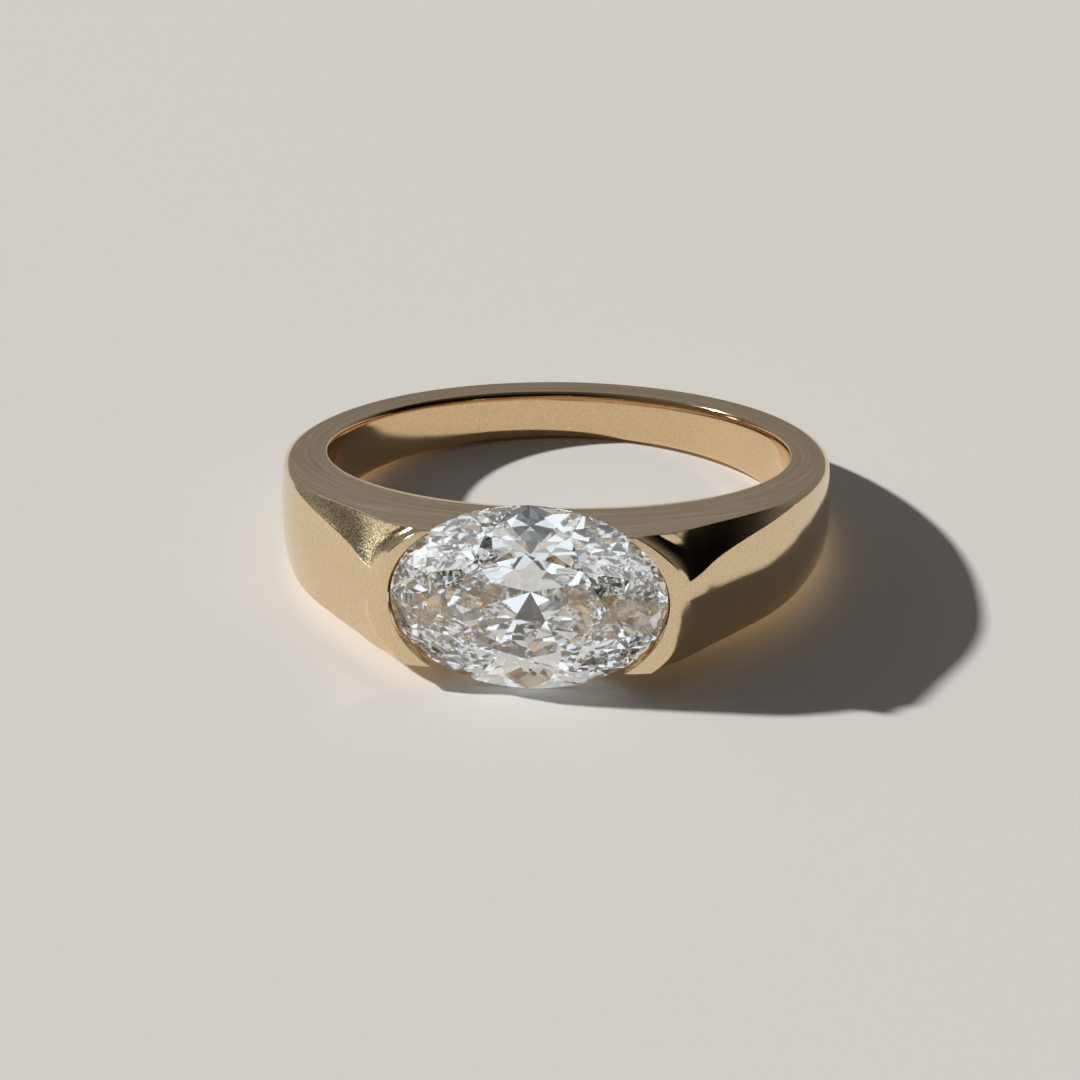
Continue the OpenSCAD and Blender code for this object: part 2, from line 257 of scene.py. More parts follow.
class BandForm:
    """The band's surface in the ring's frame, from its named sizes. The upper half has the
    scoops. The lower half is plain: it slopes away from a crease round the bezel's rim."""

    def __init__(self, s, upper):
        self.s = s
        self.upper = upper
        self.ledge = (s.stone_l / 2 + s.gap, s.stone_w / 2 + s.gap)
        self.inner = (self.ledge[0] + s.flare, self.ledge[1] + s.flare)
        self.rims = [
            (s.stone_l / 2 + end, s.stone_w / 2 + beside)
            for end, beside in ((s.rim, s.rim_side), (s.under_rim, s.under_side))
        ]
        self.feet = [(long + s.draft, short + s.draft) for long, short in self.rims]
        self.ledge_r = s.bore_r + s.girdle_rise - s.girdle_t / 2 - s.gap

    def half_w(self, y):
        """Half width at y: the parabola through the three named widths."""
        s = self.s
        t = y / s.bore_r
        front, side, back = s.front_w / 2, s.side_w / 2, s.back_w / 2
        return side + (back - front) / 2 * t + ((back + front) / 2 - side) * t * t

    def mid_r(self, angle):
        """Radius of the outer face's middle."""
        s = self.s
        return s.bore_r + s.shank_wall + share(WALL, angle) * (s.head_wall - s.shank_wall)

    def outer_r(self, angle, w):
        """Radius of the crowned outer face: it falls with the square of w."""
        return self.mid_r(angle) - w * w / (2 * self.s.crown_r)

    def slope_r(self, angle, w):
        """Radius of the shoulder: the crown, or below the middle a straight slope that
        gives way to the crown by UNDER_END."""
        if self.upper:
            return self.outer_r(angle, w)
        part = smooth((UNDER_END - angle) / (UNDER_END - UNDER_START))
        slope = w * np.tan(self.s.under_slope)
        return mix(self.outer_r(angle, w), self.mid_r(angle) - slope, part)

    def scoop_at(self, angle):
        """How far the edge is a scoop, from 0 to 1. The lower half has none."""
        return share(SCOOP, angle) * self.upper

    def side_r(self, angle):
        """Radius of a side face's outer edge."""
        return self.mid_r(angle) - self.s.edge_drop * share(DROP, angle)

    def half_at(self, angle):
        """Half width at a side face's outer edge."""
        return self.half_w(-self.side_r(angle) * cosd(angle))

    def row_w(self, angle, row):
        """Height of a row: the edge takes up 1 - cos of its run, the crown is even."""
        half = self.half_at(angle)
        plain = 1 - self.s.edge_round * (1 - self.scoop_at(angle)) / half
        ridge = np.minimum(share(RIDGE, angle) if self.upper else 1, plain)
        edge = 1 - (1 - ridge) * (1 - cosd(90 * np.minimum(row, 1)))
        return half * np.where(row <= 1, edge, ridge * (2 - row))

    def floor_r(self, angle, row):
        """Radius of the surface: a quarter ellipse beside a plain edge, or a parabola of
        scoop_depth under the straight line between the scoop's edges, then the crown."""
        s = self.s
        q = np.minimum(row, 1)
        run = 1 - cosd(90 * q)
        scoop = self.scoop_at(angle)
        side = self.side_r(angle)
        ridge_w = self.row_w(angle, 1 + 0 * row)
        rise = self.slope_r(angle, ridge_w) - side
        low = side + rise * ((1 - scoop) * sind(90 * q) + scoop * run)
        low = low - s.scoop_depth * scoop * 4 * run * (1 - run)
        return np.where(row <= 1, low, self.slope_r(angle, self.row_w(angle, row)))

    def oval_x(self, ovals, w):
        """The x at height w of the upper oval (long, short), or below the middle of the
        lower oval, to which the upper one changes over RIM_JOIN."""
        x = [long * np.sqrt(np.maximum(1 - (w / short) ** 2, 0)) for long, short in ovals]
        return x[0] if self.upper else mix(x[0], x[1], smooth(w / RIM_JOIN))

    def oval_angle(self, ovals, row, radius, height):
        """Angle where a row meets an oval round the stone, by repeated approach from
        OVAL_GUESS: the sine is the oval's x at the row's height, by radius."""
        angle = np.full_like(row, OVAL_GUESS)
        for _ in range(OVAL_STEPS):
            angle = asind(self.oval_x(ovals, height(angle, row)) / radius(angle, row))
        return angle

    def rim_r(self, angle, row):
        """Radius of the bezels' rims, which are flatter across than the band."""
        return self.mid_r(angle) - self.row_w(angle, row) ** 2 / (2 * self.s.rim_crown_r)

    def rim_w(self, angle, row):
        """Height of a row on the rims, which reach as far up as the side faces there."""
        y = -self.rim_r(angle, row) * cosd(angle)
        return self.row_w(angle, row) * self.half_w(y) / self.half_at(angle)

    def rim_point(self, angle, row):
        """Point of a row on the bezels' rims."""
        r = self.rim_r(angle, row)
        return np.stack([r * sind(angle), -r * cosd(angle), self.rim_w(angle, row)], -1)

    def floor_point(self, angle, row):
        """Point of a row on the outer face and its edge or scoop."""
        r = self.floor_r(angle, row)
        return np.stack([r * sind(angle), -r * cosd(angle), self.row_w(angle, row)], -1)

    def seat_point(self, t, row):
        """The hollow under the stone: at share t of the way out to the ledge, its depth is
        that of a cone under the stone, hollowed by SEAT_RELIEF in between."""
        ledge_half = self.half_w(-self.ledge_r)
        w = self.row_w(0 * row, row) * ledge_half / self.half_at(0)
        x = self.ledge[0] * np.sqrt(1 - (w / self.ledge[1]) ** 2) * t
        out = np.hypot(x / self.ledge[0], w / self.ledge[1])
        depth = self.s.pavilion_h + self.s.culet_gap
        y = depth * (1 - out) * (1 + SEAT_RELIEF * out) - self.ledge_r
        return np.stack([x, y, w * self.half_w(y) / ledge_half], -1)

    def outer_columns(self):
        """Columns of the outer surface from the head's middle to the back, on one quarter,
        with the angle of each at the hole and the columns of its three creases."""
        row = ROWS
        seat = [self.seat_point(t, row) for t in SEAT_COLUMNS]
        rim_lines = []
        for t in RIM_COLUMNS:
            ovals = [tuple(mix(i, o, t) for i, o in zip(self.inner, rim)) for rim in self.rims]
            angle = self.oval_angle(ovals, row, self.rim_r, self.rim_w)
            rim_lines.append(self.rim_point(angle, row))
        foot_angle = self.oval_angle(self.feet, row, self.floor_r, self.row_w)
        foot = self.floor_point(foot_angle, row)
        inside = [mix(seat[-1], rim_lines[0], t) for t in INNER_WALL_COLUMNS]
        outside = [mix(rim_lines[-1], foot, t) for t in OUTER_WALL_COLUMNS]
        shoulder = [
            self.floor_point(mix(foot_angle, SHOULDER_END, t), row) for t in SHOULDER_COLUMNS
        ]
        shank = [self.floor_point(np.full_like(row, a), row) for a in SHANK_COLUMNS]
        columns = seat + inside + rim_lines + outside + shoulder + shank
        bezel = len(inside) + len(rim_lines) + len(outside)
        hole = np.concatenate(
            [
                LEDGE_HOLE_ANGLE * SEAT_COLUMNS,
                np.linspace(LEDGE_HOLE_ANGLE, FOOT_HOLE_ANGLE, bezel + 2)[1:-1],
                mix(FOOT_HOLE_ANGLE, SHOULDER_END, SHOULDER_COLUMNS),
                SHANK_COLUMNS,
            ]
        )
        inner_edge = len(seat) + len(inside)
        outer_edge = inner_edge + len(rim_lines) - 1
        creases = (inner_edge, outer_edge, outer_edge + len(outside) + 1)
        return np.array(columns), hole, creases

    def quarter(self):
        """One quarter as a grid of columns by rows: up the wall of the hole, over its eased
        mouth, across the side face, over its edge and scoop, to the outer face's middle.
        Each point is followed by three marks: how far it lies inside the hole, in a scoop
        or on the side face."""
        s = self.s
        outer, hole, creases = self.outer_columns()
        sin, cos = sind(hole)[:, None], cosd(hole)[:, None]
        half = self.half_w(-s.bore_r * cos)

        # The wall stands straight up to its mouth, which is a quarter ellipse
        up = WALL_ROWS[None, :]
        wall_w = mix(0, half - s.bore_ease_w, up)
        wall = np.stack([s.bore_r * sin + 0 * up, -s.bore_r * cos + 0 * up, wall_w], -1)
        turn = MOUTH_ROWS[None, :]
        mouth_r = s.bore_r + s.bore_ease * (1 - cosd(turn))
        mouth_w = half - s.bore_ease_w * (1 - sind(turn))
        mouth = np.stack([mouth_r * sin, -mouth_r * cos, mouth_w], -1)

        # The side face runs straight from the mouth to the outer edge. It is as high as the
        # band's half width at each y, and takes up the edge's own difference on the way.
        mouth_r = s.bore_r + s.bore_ease
        t = SIDE_ROWS[None, :]
        edge = outer[:, :1]
        x = mix(mouth_r * sin, edge[..., 0], t)
        y = mix(-mouth_r * cos, edge[..., 1], t)
        w = self.half_w(y) + (edge[..., 2] - self.half_w(edge[..., 1])) * t
        side = np.stack([x, y, w], -1)
        grid = np.concatenate([wall, mouth, side, outer], 1)

        wall_end = wall.shape[1]
        mouth_end = wall_end + mouth.shape[1]
        side_end = mouth_end + side.shape[1]
        inner_rim, outer_rim, foot = creases
        marks = np.zeros(grid.shape)
        marks[:, :wall_end, IN_HOLE] = 1
        marks[:, wall_end:mouth_end, IN_HOLE] = cosd(turn)
        marks[:, mouth_end:side_end, ON_SIDE] = 1
        marks[foot:, side_end:, IN_SCOOP] = (ROWS < 1) * self.scoop_at(hole[foot:])[:, None]
        grid = np.concatenate([grid, marks], -1)

        rows = grid.transpose(1, 0, 2)
        rows = eased(rows, side_end + RIDGE_ROW, s.crisp)
        rows = eased(rows, side_end, s.crisp)
        columns = rows.transpose(1, 0, 2)
        columns = eased(columns, foot, s.foot_fillet, FILLET_POINTS, FILLET_LINES)
        columns = eased(columns, outer_rim, s.crisp)
        return eased(columns, inner_rim, s.crisp)


def eased(lines, index, reach, points=CREASE_POINTS, around=(1, 1)):
    """Rounds one line of a grid: it and the lines up to those around it give way to the curve
    of second degree that starts at most reach before it, ends at most reach after it and has
    it as its control point. Neither end passes LONGEST_REACH of the way to the line there."""
    corner = lines[index]
    before, after = index - around[0], index + around[1]

    def reached(end):
        step = end - corner
        size = np.linalg.norm(step[..., :3], axis=-1, keepdims=True)
        return corner + step * np.minimum(LONGEST_REACH, reach / np.maximum(size, 1e-9))

    a, b = reached(lines[before]), reached(lines[after])
    t = np.linspace(0, 1, points)[:, None, None]
    curve = (1 - t) ** 2 * a + 2 * t * (1 - t) * corner + t**2 * b
    return np.concatenate([lines[: before + 1], curve, lines[after:]])


# Factors for a point's x, y and w and for its three marks
TURNED_OVER = (1, 1, -1, 1, 1, 1)
MIRRORED = (-1, 1, 1, 1, 1, 1)
LESS_GRAIN = (1, 1, 1, 1, 0.15, 1)


def whole_round(upper, lower):
    """The whole closed grid from an upper and a lower quarter: the lower one turned over,
    then both mirrored in x, with the shared lines kept once. The right scoop has less of
    the grain."""
    half = np.concatenate([upper, lower[:, -2:0:-1] * TURNED_OVER], 1)
    left = half[-2:0:-1] * MIRRORED
    return np.concatenate([half * LESS_GRAIN, left])


def laid(points):
    """Points of the ring's frame where the record's finger hole puts them on the floor."""
    axis = Vector(HOLE["axis"])
    turn = np.array(Vector((0, 0, 1)).rotation_difference(axis).to_matrix())
    return points @ turn.T + np.array(HOLE["pos_m"])


def closed_mesh(name, grid):
    """A mesh of four-sided faces from a grid that closes on itself both ways. The three
    marks after each point go into its attribute."""
    around, across = grid.shape[:2]
    i, j = np.meshgrid(np.arange(around), np.arange(across), indexing="ij")
    i2, j2 = (i + 1) % around, (j + 1) % across
    quads = np.stack([i * across + j, i * across + j2, i2 * across + j2, i2 * across + j], -1)
    mesh = mesh_from(name, laid(grid[..., :3].reshape(-1, 3)), quads.reshape(-1, 4))
    attribute = mesh.attributes.new("marks", "FLOAT_VECTOR", "POINT")
    marks = np.ascontiguousarray(grid[..., 3:], np.float32)
    attribute.data.foreach_set("vector", marks.ravel())
    return mesh


def mesh_from(name, points, faces, smooth=True):
    """A mesh from arrays of points and of faces with the same number of corners."""
    mesh = bpy.data.meshes.new(name)
    mesh.vertices.add(len(points))
    mesh.vertices.foreach_set("co", np.ascontiguousarray(points, np.float32).ravel())
    mesh.loops.add(faces.size)
    mesh.loops.foreach_set("vertex_index", np.ascontiguousarray(faces, np.int32).ravel())
    mesh.polygons.add(len(faces))
    sides = faces.shape[1]
    mesh.polygons.foreach_set("loop_start", np.arange(0, faces.size, sides, dtype=np.int32))
    mesh.update(calc_edges=True)
    mesh.validate()
    mesh.polygons.foreach_set("use_smooth", np.full(len(mesh.polygons), smooth))
    return mesh


def piece(name, mesh, *materials):
    """A new object of the scene at the origin, with its materials."""
    made = bpy.data.objects.new(name, mesh)
    bpy.context.scene.collection.objects.link(made)
    for each in materials:
        made.data.materials.append(each)
    return made


def new_group(name, inputs, outputs):
    """An empty shader node group with its sockets, and its input and output nodes."""
    group = bpy.data.node_groups.new(name, "ShaderNodeTree")
    for label, kind, value in inputs:
        socket = group.interface.new_socket(label, in_out="INPUT", socket_type=kind)
        if value is not None:
            socket.default_value = value
    for label, kind in outputs:
        group.interface.new_socket(label, in_out="OUTPUT", socket_type=kind)
    return group, group.nodes.new("NodeGroupInput"), group.nodes.new("NodeGroupOutput")


def node(tree, kind, links=(), **values):
    """A node with its properties set, and its inputs set or linked by number or name."""
    made = tree.nodes.new(kind)
    for key, value in values.items():
        setattr(made, key, value)
    for socket, value in links:
        if isinstance(value, bpy.types.NodeSocket):
            tree.links.new(value, made.inputs[socket])
        else:
            made.inputs[socket].default_value = value
    return made


# Patterns of the polish marks, in patches per metre. Hairlines run level, so theirs are given
# for x, y and z. Streaks run round the finger, and change slowly on their way: by this share.
CLOUD_SCALE = 420.0
HAIR_SCALE = (1500.0, 1500.0, 26000.0)
STREAK_SCALE = 7000.0
STREAK_DRIFT = 0.03
SPECK_SCALE = 14000.0

# Noise values between which a hairline fades in, and what each mark adds
HAIR_FROM, HAIR_TO = 0.55, 0.75
GRAIN_ROUGHNESS = 0.04
CLOUD_HEIGHT = 0.4
HAIR_HEIGHT = 0.1
GRAIN_HEIGHT = 3.0
STREAK_SHADE = 0.9
SPECK_SHADE = 0.6
GRAIN_SHADE = 3.0


def polish_marks_group():
    """Marks of the polishing wheel and of wear: soft cloudy patches, fine hairlines, a fine
    grain, stronger where Grain is over 0, and, where Streaks is over 0, streaks round the
    finger in place of the hairlines. They are put out as a roughness, a height for a Bump
    node and a shade near 1 that multiplies the colour."""
    found = bpy.data.node_groups.get("Polish marks")
    if found:
        return found
    group, given, put = new_group(
        "Polish marks",
        [
            ("Vector", "NodeSocketVector", None),
            ("Roughness", "NodeSocketFloat", 0.1),
            ("Clouds", "NodeSocketFloat", 0.03),
            ("Hairlines", "NodeSocketFloat", 0.04),
            ("Grain", "NodeSocketFloat", 0.0),
            ("Streaks", "NodeSocketFloat", 0.0),
        ],
        [(label, "NodeSocketFloat") for label in ("Roughness", "Height", "Shade")],
    )
    where = given.outputs["Vector"]

    def noise(vector, scale, detail):
        links = [("Vector", vector), ("Scale", scale), ("Detail", detail), ("Roughness", 0.6)]
        return node(group, "ShaderNodeTexNoise", links).outputs["Fac"]

    def math(operation, a, b):
        return node(group, "ShaderNodeMath", [(0, a), (1, b)], operation=operation).outputs[0]

    def mapped(scale, shift=(0, 0, 0)):
        links = [("Vector", where), ("Location", shift), ("Scale", scale)]
        return node(group, "ShaderNodeMapping", links).outputs[0]

    clouds = noise(where, CLOUD_SCALE, 3.0)
    hair = noise(mapped(HAIR_SCALE), 1.0, 2.0)
    specks = noise(where, SPECK_SCALE, 2.0)

    # Streaks: noise over the distance from the hole's centre, and a little of the place
    outward = mapped((1, 1, 0), (0, -HOLE["pos_m"][1], 0))
    radius = node(group, "ShaderNodeVectorMath", [(0, outward)], operation="LENGTH")
    across = node(group, "ShaderNodeCombineXYZ", [("Z", radius.outputs["Value"])])
    drift = mapped((STREAK_DRIFT, STREAK_DRIFT, 0))
    both = [(0, drift), (1, across.outputs[0])]
    line = node(group, "ShaderNodeVectorMath", both, operation="ADD")
    streak = noise(line.outputs[0], STREAK_SCALE, 3.0)

    on_side = given.outputs["Streaks"]
    lines = math("ADD", hair, math("MULTIPLY", math("SUBTRACT", streak, hair), on_side))
    limits = [("Value", lines), ("From Min", HAIR_FROM), ("From Max", HAIR_TO)]
    fine = node(group, "ShaderNodeMapRange", limits).outputs[0]
    grain = math("MULTIPLY", specks, given.outputs["Grain"])

    rough = math("MULTIPLY", clouds, given.outputs["Clouds"])
    rough = math("ADD", given.outputs["Roughness"], rough)
    rough = math("ADD", rough, math("MULTIPLY", fine, given.outputs["Hairlines"]))
    rough = math("ADD", rough, math("MULTIPLY", grain, GRAIN_ROUGHNESS))
    group.links.new(rough, put.inputs["Roughness"])

    height = math("MULTIPLY", clouds, CLOUD_HEIGHT)
    height = math("ADD", height, math("MULTIPLY", fine, HAIR_HEIGHT))
    height = math("ADD", height, math("MULTIPLY", grain, GRAIN_HEIGHT))
    group.links.new(height, put.inputs["Height"])

    side_depth = math("MULTIPLY", on_side, STREAK_SHADE)
    depth = math("ADD", math("MULTIPLY", given.outputs["Grain"], GRAIN_SHADE), SPECK_SHADE)
    shade = math("MULTIPLY", math("SUBTRACT", specks, 0.5), depth)
    shade = math("ADD", shade, math("MULTIPLY", math("SUBTRACT", streak, 0.5), side_depth))
    group.links.new(math("ADD", shade, 1.0), put.inputs["Shade"])
    return group


BUMP_STRENGTH = 0.25
BUMP_DISTANCE = 0.01 * MM
DIAMOND_IOR = 2.417


def gold_material(looks):
    """Polished yellow gold, softly worn on its faces, with painted shade inside the hole, where
    it is painted deeper and darker; streaked on the side faces and left with a grain in the
    scoops."""
    made = bpy.data.materials.new("polished gold")
    made.use_nodes = True
    tree = made.node_tree
    shader = tree.nodes["Principled BSDF"]
    shader.inputs["Metallic"].default_value = 1
    where = node(tree, "ShaderNodeTexCoord")
    marks = node(tree, "ShaderNodeAttribute", attribute_name="marks")
    part = node(tree, "ShaderNodeSeparateXYZ", [(0, marks.outputs["Vector"])])
    # Painted shade: the gold is mixed toward a darker gold as far as a point lies inside the hole
    # A colour Mix node's sockets 6 and 7 are its two colours, and its output 2 is the mix
    colour = node(
        tree,
        "ShaderNodeMix",
        [("Factor", part.outputs[IN_HOLE]), (6, (*looks.gold, 1)), (7, (*looks.shaded_hole_gold, 1))],
        data_type="RGBA",
    )
    polish = node(
        tree,
        "ShaderNodeGroup",
        [
            ("Vector", where.outputs["Object"]),
            ("Roughness", looks.polish),
            ("Grain", part.outputs[IN_SCOOP]),
            ("Streaks", part.outputs[ON_SIDE]),
        ],
        node_tree=polish_marks_group(),
    )
    tree.links.new(polish.outputs["Roughness"], shader.inputs["Roughness"])
    shaded = node(
        tree,
        "ShaderNodeVectorMath",
        [(0, colour.outputs[2]), ("Scale", polish.outputs["Shade"])],
        operation="SCALE",
    )
    tree.links.new(shaded.outputs[0], shader.inputs["Base Color"])
    bump = node(
        tree,
        "ShaderNodeBump",
        [
            ("Height", polish.outputs["Height"]),
            ("Strength", BUMP_STRENGTH),
            ("Distance", BUMP_DISTANCE),
        ],
    )
    tree.links.new(bump.outputs[0], shader.inputs["Normal"])
    return made


def stone_material(looks):
    """A clear brilliant with a high index of refraction, and a faint haze on its facets."""
    made = bpy.data.materials.new("clear brilliant")
    made.use_nodes = True
    tree = made.node_tree
    shader = tree.nodes["Principled BSDF"]
    shader.inputs["Base Color"].default_value = (*looks.stone, 1)
    where = node(tree, "ShaderNodeTexCoord")
    haze = node(
        tree,
        "ShaderNodeGroup",
        [
            ("Vector", where.outputs["Object"]),
            ("Roughness", 0.0),
            ("Clouds", 0.03),
            ("Hairlines", 0.01),
        ],
        node_tree=polish_marks_group(),
    )
    tree.links.new(haze.outputs["Roughness"], shader.inputs["Roughness"])
    shader.inputs["IOR"].default_value = DIAMOND_IOR
    shader.inputs["Transmission Weight"].default_value = 1
    return made


def ring_of(share_out, count, turn, height):
    """Corners of the cut on a circle of radius share_out, turned by a share of a step."""
    a = (np.arange(count) + turn) * 2 * np.pi / count
    return np.stack([share_out * np.cos(a), share_out * np.sin(a), height + 0 * a], -1)


def plane_height(tip, a, b, at):
    """Height at each place of the plane through three corners."""
    n = np.cross(a - tip, b - tip)
    rise = n[:, 0] * (at[:, 0] - tip[:, 0]) + n[:, 1] * (at[:, 1] - tip[:, 1])
    return tip[:, 2] - rise / n[:, 2]


# The cut on a circle of radius 1: its mains and halves, the steps of the girdle's edge under
# each half, and the radii of the table's corners and the stars' outer corners
MAINS = 8
HALVES = 2 * MAINS
ARCS = 4
TABLE_SHARE = 0.57
STAR_SHARE = 0.8

# Tiers below the girdle: radius, number of corners and turn as a share of a step
TIERS = ((0.8, HALVES, 0.5), (0.55, HALVES, 0.0), (0.3, MAINS, 0.5))
BULGE = 0.1


def stone_cut(s):
    """The cut on a circle of radius 1, as rings of corners with the triangles between them:
    table, stars, kites and halves above the girdle, and staggered tiers below it. A star's
    outer corner lies on the planes of the kites beside it. A tier is as deep as a cone there,
    and by the share BULGE times its radius deeper."""
    count = HALVES * ARCS
    half_t = s.girdle_t / 2
    star_h = s.crown_h * (1 - STAR_SHARE * np.cos(np.pi / MAINS)) / (1 - TABLE_SHARE)
    table = ring_of(TABLE_SHARE, MAINS, 0, half_t + s.crown_h)
    star = ring_of(STAR_SHARE, MAINS, 0.5, half_t + star_h)
    tiers = [
        ring_of(r, n, turn, -half_t - s.pavilion_h * (1 - r) * (1 + BULGE * r))
        for r, n, turn in TIERS
    ]
    culet = np.array([[0, 0, -half_t - s.pavilion_h]])

    # Steps of the girdle's edge, and the half that each belongs to
    i = np.arange(count)
    edge = ring_of(1, count, 0, 0)
    fan = i // ARCS
    start, stop = edge[fan * ARCS], edge[(fan + 1) * ARCS % count]

    def scalloped(inner, rim):
        """The girdle's edge, where each half's plane through its inner corner and its two
        ends on the rim gives the height between them."""
        a, b = start + [0, 0, rim], stop + [0, 0, rim]
        height = plane_height(inner, a, b, edge)
        return np.column_stack([edge[:, :2], np.where(i % ARCS == 0, rim, height)])

    high = scalloped(star[fan // 2 % MAINS], half_t)
    low = scalloped(tiers[0][fan], -half_t)
    rings = [table, star, high, low, *tiers, culet]

    def facets(first, second, third):
        """Triangles from three rows of corner numbers, where one number stands for a row."""
        return np.stack(np.broadcast_arrays(first, second, third), -1)

    # The first corner of each ring: table (tb), stars (st), the girdle's upper and lower edge
    # (up, lo), the three tiers (a, b, c) and the culet (tip)
    tb, st, up, lo, a, b, c, tip = np.cumsum([0] + [len(ring) for ring in rings[:-1]])
    k, j = np.arange(MAINS), np.arange(HALVES)
    after = (i + 1) % count
    main = up + 2 * ARCS * k
    corner = lo + ARCS * j
    even, odd = b + 2 * k, b + 2 * k + 1
    before = c + (k - 1) % MAINS
    faces = [
        facets(tb + k, st + k, tb + (k + 1) % MAINS),
        facets(tb + k, st + (k - 1) % MAINS, main),
        facets(tb + k, main, st + k),
        facets(st + fan // 2 % MAINS, up + i, up + after),
        facets(up + i, lo + i, lo + after),
        facets(up + i, lo + after, up + after),
        facets(a + fan, lo + after, lo + i),
        facets(corner, a + (j - 1) % HALVES, b + j),
        facets(corner, b + j, a + j),
        facets(a + j, b + j, b + (j + 1) % HALVES),
        facets(even, c + k, odd),
        facets(odd, c + k, b + (2 * k + 2) % HALVES),
        facets(even, before, c + k),
        facets(c + k, before, tip),
        facets(tb, tb + k[1:-1], tb + k[2:]),
    ]
    return np.concatenate(rings), np.concatenate(faces)


def stone_mesh(s):
    """The cut stretched to the stone's length round the finger and its width along it, with
    its table to the front and its girdle at its height above the hole."""
    points, faces = stone_cut(s)
    girdle_r = s.bore_r + s.girdle_rise
    placed = np.stack(
        [points[:, 0] * s.stone_l / 2, -girdle_r - points[:, 2], points[:, 1] * s.stone_w / 2], -1
    )
    return mesh_from("oval_brilliant", laid(placed), faces, smooth=False)


class RING_OT_band(bpy.types.Operator):
    """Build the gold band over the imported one."""

    bl_idname = "ring.band"
    bl_label = "Gold band"

    def execute(self, context):
        sizes, looks = context.scene.ring_band, context.scene.ring_looks
        upper, lower = (BandForm(sizes, half).quarter() for half in (True, False))
        mesh = closed_mesh("gold_band", whole_round(upper, lower))
        band = piece("gold_band", mesh, gold_material(looks))
        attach(band, "root")
        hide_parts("band")
        return {"FINISHED"}


class RING_OT_stone(bpy.types.Operator):
    """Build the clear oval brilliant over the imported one."""

    bl_idname = "ring.stone"
    bl_label = "Oval brilliant"

    def execute(self, context):
        sizes, looks = context.scene.ring_band, context.scene.ring_looks
        stone = piece("oval_brilliant", stone_mesh(sizes), stone_material(looks))
        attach(stone, "root")
        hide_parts("oval_stone")
        return {"FINISHED"}


class RING_OT_stage(bpy.types.Operator):
    """Set the floor, the lamp, the room's light and the camera."""

    bl_idname = "ring.stage"
    bl_label = "Floor, light and camera"

    def execute(self, context):
        scene = context.scene
        stage_floor(scene.ring_looks)
        stage_light(scene.ring_looks)
        stage_camera(scene)
        scene.view_settings.view_transform = "Standard"
        scene.cycles.max_bounces = LIGHT_STEPS
        scene.cycles.glossy_bounces = LIGHT_STEPS
        scene.cycles.transmission_bounces = LIGHT_STEPS
        scene.cycles.blur_glossy = 0
        return {"FINISHED"}


FLOOR_HALF = 1.5
FLOOR_ROUGHNESS = 0.9


def stage_floor(looks):
    """A flat square floor three metres across, on which the ring lies."""
    material = bpy.data.materials.new("pale floor")
    material.use_nodes = True
    shader = material.node_tree.nodes["Principled BSDF"]
    shader.inputs["Base Color"].default_value = (*looks.floor, 1)
    shader.inputs["Roughness"].default_value = FLOOR_ROUGHNESS
    corners = FLOOR_HALF * np.array([[-1, -1, 0], [1, -1, 0], [1, 1, 0], [-1, 1, 0]])
    floor = piece("floor", mesh_from("floor", corners, np.array([[0, 1, 2, 3]])), material)


# Light turns inside the stone many times before it comes out again
LIGHT_STEPS = 24
SOFT_BOXES = (
    # name, piece that it lights, azimuth, elevation, width and height, brightness
    ("high box", "oval_brilliant", -90, 62, (0.60, 0.30), 0.6),
    ("front left box", "oval_brilliant", -128, 24, (0.33, 0.43), 1.15),
    ("front right box", "oval_brilliant", -50, 24, (0.33, 0.43), 1.15),
    ("left box", "oval_brilliant", -168, 26, (0.38, 0.50), 1.3),
    ("right box", "oval_brilliant", -10, 26, (0.38, 0.50), 1.15),
    ("low box", "oval_brilliant", -90, 5, (0.38, 0.10), 0.95),
    ("window", "gold_band", 175, 4.0, (0.07, 0.05), 2.6),
)
BOX_TINT = (0.9, 0.955, 1.0)
BOX_DISTANCE = 0.5

# The lamp's azimuth and elevation, its width as an angle and its colour
LAMP_PLACE = (173, 33)
LAMP_WIDTH = 2.6
LAMP_TINT = (1.0, 0.975, 0.94)

# The room's brightness along each axis: x, y or z as 0, 1 or 2, where the change starts and
# ends, and the values there
ROOM_SLOPES = ((1, 0.15, 0.9, 0.002, 0.21), (0, 0.0, -0.9, 0.0, 0.09), (2, 0.3, 1.0, 0.0, 0.08))
ROOM_TINT = (1.0, 0.95, 0.9)


def toward(azimuth, elevation):
    """The direction of an azimuth and an elevation."""
    flat = cosd(elevation)
    return Vector((flat * cosd(azimuth), flat * sind(azimuth), sind(elevation)))


def soft_box(name, lit_piece, azimuth, elevation, size, level):
    """A flat oval lamp at BOX_DISTANCE from the ring, which shines on one piece alone. Its
    power is level times pi times its area, so that it looks equally bright at any size."""
    box = bpy.data.lights.new(name, "AREA")
    box.shape = "ELLIPSE"
    box.size, box.size_y = size
    box.energy = level * np.pi * size[0] * size[1] * np.pi / 4
    box.color = BOX_TINT
    made = bpy.data.objects.new(name, box)
    out = toward(azimuth, elevation)
    turn = out.to_track_quat("Z", "Y").to_matrix().to_4x4()
    made.matrix_world = Matrix.Translation(out * BOX_DISTANCE) @ turn
    lit = bpy.data.collections.new("lit by the " + name)
    lit.objects.link(bpy.data.objects[lit_piece])
    made.light_linking.receiver_collection = lit
    bpy.context.scene.collection.objects.link(made)


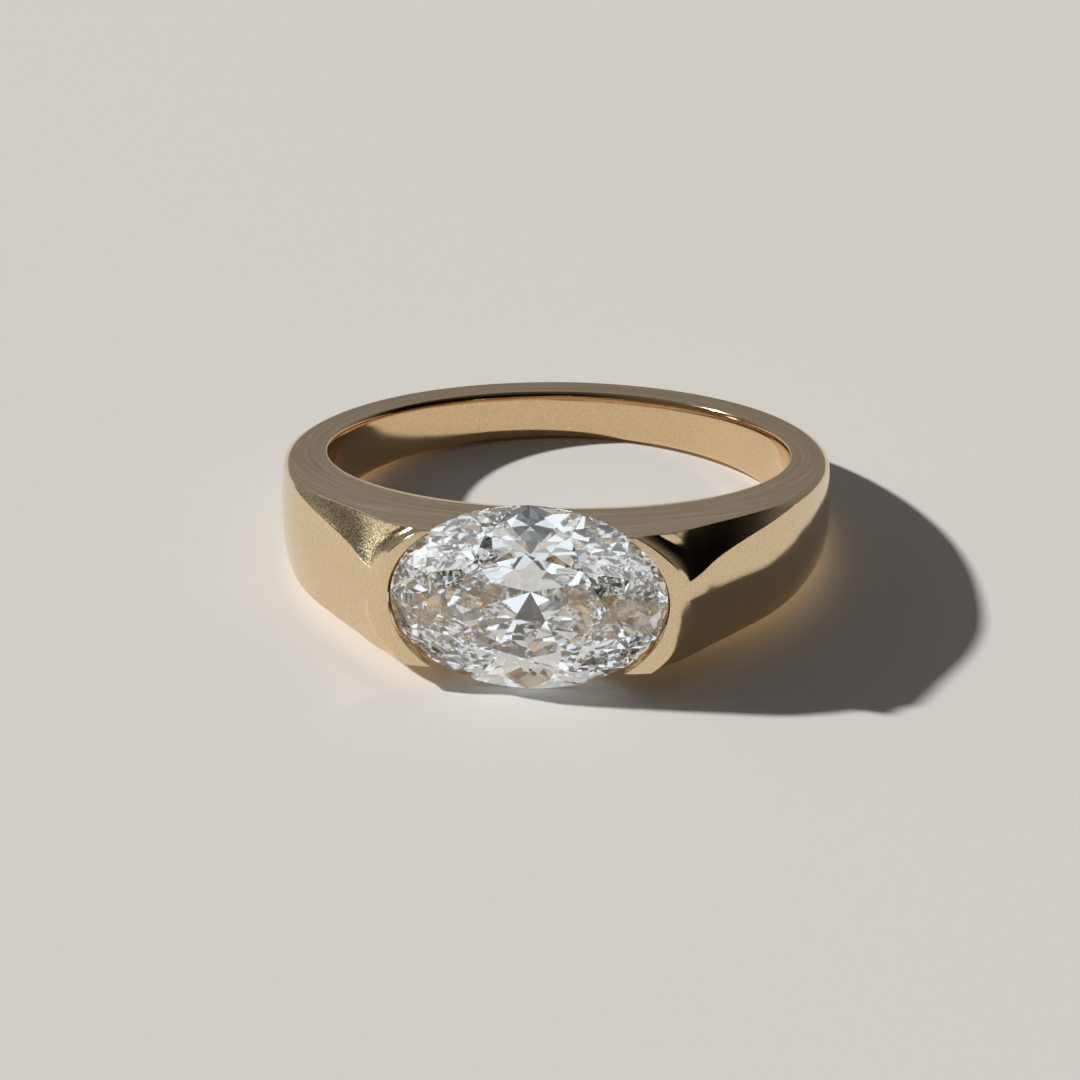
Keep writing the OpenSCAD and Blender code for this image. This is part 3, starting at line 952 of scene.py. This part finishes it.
def stage_light(looks):
    """A lamp far off to the left, the soft boxes, and a room that is grey behind and dark
    on the right."""
    lamp = bpy.data.lights.new("lamp", "SUN")
    lamp.energy = looks.sun
    lamp.angle = np.radians(LAMP_WIDTH)
    lamp.color = LAMP_TINT
    lamp_object = bpy.data.objects.new("lamp", lamp)
    lamp_object.rotation_euler = toward(*LAMP_PLACE).to_track_quat("Z", "Y").to_euler()
    bpy.context.scene.collection.objects.link(lamp_object)

    for row in SOFT_BOXES:
        soft_box(*row)

    world = bpy.data.worlds.new("room")
    bpy.context.scene.world = world
    world.use_nodes = True
    tree = world.node_tree
    back = tree.nodes["Background"]
    where = node(tree, "ShaderNodeTexCoord")
    axes = node(tree, "ShaderNodeSeparateXYZ", [(0, where.outputs["Generated"])])
    total = 0.0
    for axis, start, end, low, high in ROOM_SLOPES:
        slope = node(
            tree,
            "ShaderNodeMapRange",
            [(0, axes.outputs[axis]), (1, start), (2, end), (3, low), (4, high)],
            interpolation_type="SMOOTHSTEP",
        )
        both = [(0, total), (1, slope.outputs[0])]
        total = node(tree, "ShaderNodeMath", both, operation="ADD").outputs[0]
    both = [(0, total), (1, looks.room)]
    scaled = node(tree, "ShaderNodeMath", both, operation="MULTIPLY")
    back.inputs["Color"].default_value = (*ROOM_TINT, 1)
    tree.links.new(scaled.outputs[0], back.inputs["Strength"])


# The camera's sensor and lens in millimetres, the distances that it sees, its place, the
# point that it looks at and its roll
SENSOR, LENS = 36, 126.2
NEAR, FAR = 0.01, 20
CAMERA_PLACE = Vector((10.73, -125.58, 61.64)) * MM
CAMERA_AIM = Vector((-0.63, 0.70, 0.0)) * MM
CAMERA_ROLL = -0.265


def stage_camera(scene):
    """A camera at the height and angle from which the ring was looked at."""
    camera = bpy.data.cameras.new("camera")
    camera.sensor_width, camera.lens = SENSOR, LENS
    camera.clip_start, camera.clip_end = NEAR, FAR
    made = bpy.data.objects.new("camera", camera)
    turn = (CAMERA_AIM - CAMERA_PLACE).to_track_quat("-Z", "Y").to_matrix().to_4x4()
    roll = Matrix.Rotation(np.radians(CAMERA_ROLL), 4, "Z")
    made.matrix_world = Matrix.Translation(CAMERA_PLACE) @ turn @ roll
    scene.collection.objects.link(made)
    scene.camera = made


class RING_PT_panel(bpy.types.Panel):
    """The ring's pieces and sizes in the sidebar."""

    bl_idname = "RING_PT_panel"
    bl_label = "East west ring"
    bl_space_type = "VIEW_3D"
    bl_region_type = "UI"
    bl_category = "Ring"

    def draw(self, context):
        for operator in OPERATORS:
            self.layout.operator(operator.bl_idname)
        for group in (context.scene.ring_band, context.scene.ring_looks):
            box = self.layout.box()
            for name in group.__annotations__:
                box.prop(group, name)


OPERATORS = (RING_OT_band, RING_OT_stone, RING_OT_stage)
CLASSES = (RingBandSizes, RingLooks, *OPERATORS, RING_PT_panel)


def register():
    """Adds the classes and the two property groups of the scene."""
    for each in CLASSES:
        bpy.utils.register_class(each)
    bpy.types.Scene.ring_band = PointerProperty(type=RingBandSizes)
    bpy.types.Scene.ring_looks = PointerProperty(type=RingLooks)


def unregister():
    """Takes them out again."""
    del bpy.types.Scene.ring_band
    del bpy.types.Scene.ring_looks
    for each in reversed(CLASSES):
        bpy.utils.unregister_class(each)


def main():
    register()
    bpy.ops.ring.band()
    bpy.ops.ring.stone()
    bpy.ops.ring.stage()
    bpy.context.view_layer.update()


if __name__ == "__main__":
    main()
